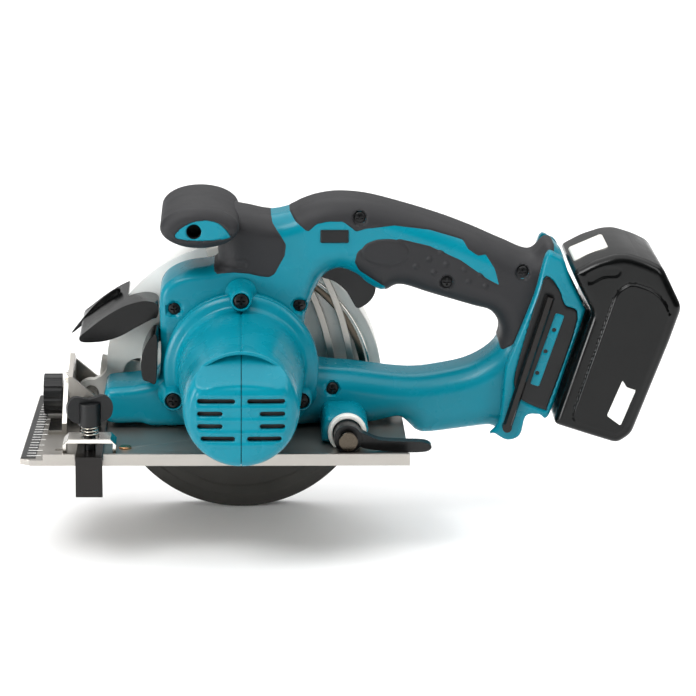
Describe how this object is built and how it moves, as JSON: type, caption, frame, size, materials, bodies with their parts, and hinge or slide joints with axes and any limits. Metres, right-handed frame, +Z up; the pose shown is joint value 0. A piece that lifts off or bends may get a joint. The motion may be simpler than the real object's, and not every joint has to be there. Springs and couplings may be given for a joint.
{
  "type": "cordless circular saw",
  "caption": "Handheld battery circular saw with a tilting base, blade case, swinging lower guard, end-on motor and rear battery pack.",
  "frame": {"origin": "the point of the sole's plane straight under the blade's axis, in the middle plane of the blade", "axes": "+X points to the rear of the saw, along the cut; +Y to the blade's side; +Z up"},
  "size_m": [0.349, 0.169, 0.1846],
  "materials": {
    "teal_abs": "glossy moulded ABS",
    "charcoal_rubber": "soft overmoulded rubber",
    "black_plastic": "satin moulded nylon",
    "gloss_black": "glossy black ABS",
    "cast_silver": "painted die casting",
    "base_steel": "satin plated steel",
    "dark_steel": "dark oxide steel",
    "guard_dark": "matte dark paint",
    "copper_winding": "lacquered windings and laminations",
    "brass": "satin",
    "carbon": "pressed carbon",
    "magnet": "ferrite",
    "clear": "clear moulded plastic",
    "cell_wrap": "shrink sleeve",
    "grey_button": "light grey nylon",
    "fan_nylon": "natural nylon",
    "copper": "polished rivet"
  },
  "bodies": {
    "saw_body": {"housing_left": "teal_abs", "housing_right": "teal_abs", "handle_rubber_left": "charcoal_rubber", "handle_rubber_right": "charcoal_rubber", "front_grip": "charcoal_rubber", "front_grip_inserts": "teal_abs", "mount_panel_left": "charcoal_rubber", "mount_panel_right": "charcoal_rubber", "motor_housing": "teal_abs", "motor_yoke": "dark_steel", "motor_magnets": "magnet", "brush_holders": "brass", "carbon_brushes": "carbon", "rotor_bearings": "base_steel", "gear_case": "cast_silver", "gear_cover": "cast_silver", "spindle_bearings": "base_steel", "chip_cover": "clear", "chip_deflector": "black_plastic", "lamp_housing": "black_plastic", "lamp_lens": "clear", "guard_spring": "base_steel", "trigger_switch": "black_plastic", "terminal_block": "black_plastic", "housing_screws": "dark_steel", "motor_screws": "dark_steel", "depth_bolt": "base_steel"},
    "blade_spindle": {"spindle": "base_steel", "spindle_gear": "base_steel", "inner_flange": "dark_steel", "saw_blade": "base_steel", "outer_flange": "dark_steel", "arbor_bolt": "dark_steel"},
    "rotor": {"armature": "copper_winding", "motor_fan": "fan_nylon", "motor_pinion": "base_steel"},
    "guard": {"lower_guard": "guard_dark"},
    "trigger_body": {"trigger": "black_plastic"},
    "lock_off": {"lock_off_button": "black_plastic"},
    "lock_pin": {"shaft_lock": "black_plastic"},
    "battery": {"battery_case": "gloss_black", "battery_cells": "cell_wrap"},
    "battery_release": {"battery_button": "grey_button"},
    "wrench": {"hex_wrench": "dark_steel"},
    "depth_clamp": {"depth_lever": "black_plastic"},
    "depth_frame": {"depth_bracket": "base_steel", "depth_pivot_pin": "dark_steel", "depth_guide": "base_steel"},
    "base": {"base_plate": "base_steel", "base_scale": "guard_dark", "bevel_quadrant": "base_steel", "rear_hinge_lug": "base_steel", "guide_clamp": "base_steel", "wing_spring": "base_steel", "sight_rivet": "copper"},
    "bevel_clamp": {"bevel_knob": "black_plastic"},
    "rule": {"guide_rule": "dark_steel"},
    "rule_clamp": {"wing_bolt": "black_plastic"}
  },
  "joints": [
    {"name": "blade_spin", "type": "hinge", "parent": "saw_body", "child": "blade_spindle", "pos_m": [0, 0, 0.017], "axis": [0, 1, 0], "continuous": true},
    {"name": "rotor_spin", "type": "hinge", "parent": "saw_body", "child": "rotor", "pos_m": [0, 0, 0.0378], "axis": [0, 1, 0], "continuous": true},
    {"name": "guard_swing", "type": "hinge", "parent": "saw_body", "child": "guard", "pos_m": [0, 0, 0.017], "axis": [0, -1, 0], "range_deg": [0, 150], "stiffness_Nm_per_rad": 0.05, "springref_deg": -68.75},
    {"name": "trigger_press", "type": "hinge", "parent": "saw_body", "child": "trigger_body", "pos_m": [0.042, -0.038, 0.091], "axis": [0, -1, 0], "range_deg": [0, 7], "stiffness_Nm_per_rad": 0.6, "springref_deg": -5.73},
    {"name": "lock_off_slide", "type": "slide", "parent": "saw_body", "child": "lock_off", "axis": [0, 1, 0], "range_m": [-0.002, 0.002], "stiffness_N_per_m": 600},
    {"name": "shaft_lock_press", "type": "slide", "parent": "saw_body", "child": "lock_pin", "axis": [0.8387, 0, -0.5446], "range_m": [0, 0.003], "stiffness_N_per_m": 600, "springref_m": -0.002},
    {"name": "battery_slide", "type": "slide", "parent": "saw_body", "child": "battery", "axis": [0.3007, 0, 0.9537], "range_m": [0, 0.1]},
    {"name": "battery_release_press", "type": "slide", "parent": "battery", "child": "battery_release", "axis": [0.3987, 0, -0.9171], "range_m": [0, 0.002], "stiffness_N_per_m": 800, "springref_m": -0.001},
    {"name": "wrench_pull", "type": "slide", "parent": "saw_body", "child": "wrench", "axis": [0, -1, 0], "range_m": [0, 0.04]},
    {"name": "depth_lever_turn", "type": "hinge", "parent": "saw_body", "child": "depth_clamp", "pos_m": [0.056, -0.1, 0.011], "axis": [0, -1, 0], "range_deg": [0, 70]},
    {"name": "depth_pivot", "type": "hinge", "parent": "saw_body", "child": "depth_frame", "pos_m": [-0.082, -0.03, 0.013], "axis": [0, 1, 0], "range_deg": [0, 38]},
    {"name": "bevel_tilt", "type": "hinge", "parent": "depth_frame", "child": "base", "pos_m": [0, 0, 0.009], "axis": [1, 0, 0], "range_deg": [0, 45]},
    {"name": "bevel_knob_turn", "type": "hinge", "parent": "depth_frame", "child": "bevel_clamp", "pos_m": [-0.1, -0.02733, 0.01511], "axis": [-1, 0, 0], "range_deg": [0, 300]},
    {"name": "rule_slide", "type": "slide", "parent": "base", "child": "rule", "axis": [0, -1, 0], "range_m": [0, 0.07]},
    {"name": "wing_turn", "type": "hinge", "parent": "base", "child": "rule_clamp", "pos_m": [-0.079, -0.103, 0.02], "axis": [0, 0, 1], "range_deg": [0, 360]}
  ],
  "couplings": [
    {"joint": "rotor_spin", "follows": "blade_spin", "ratio": -1.8889}
  ]
}
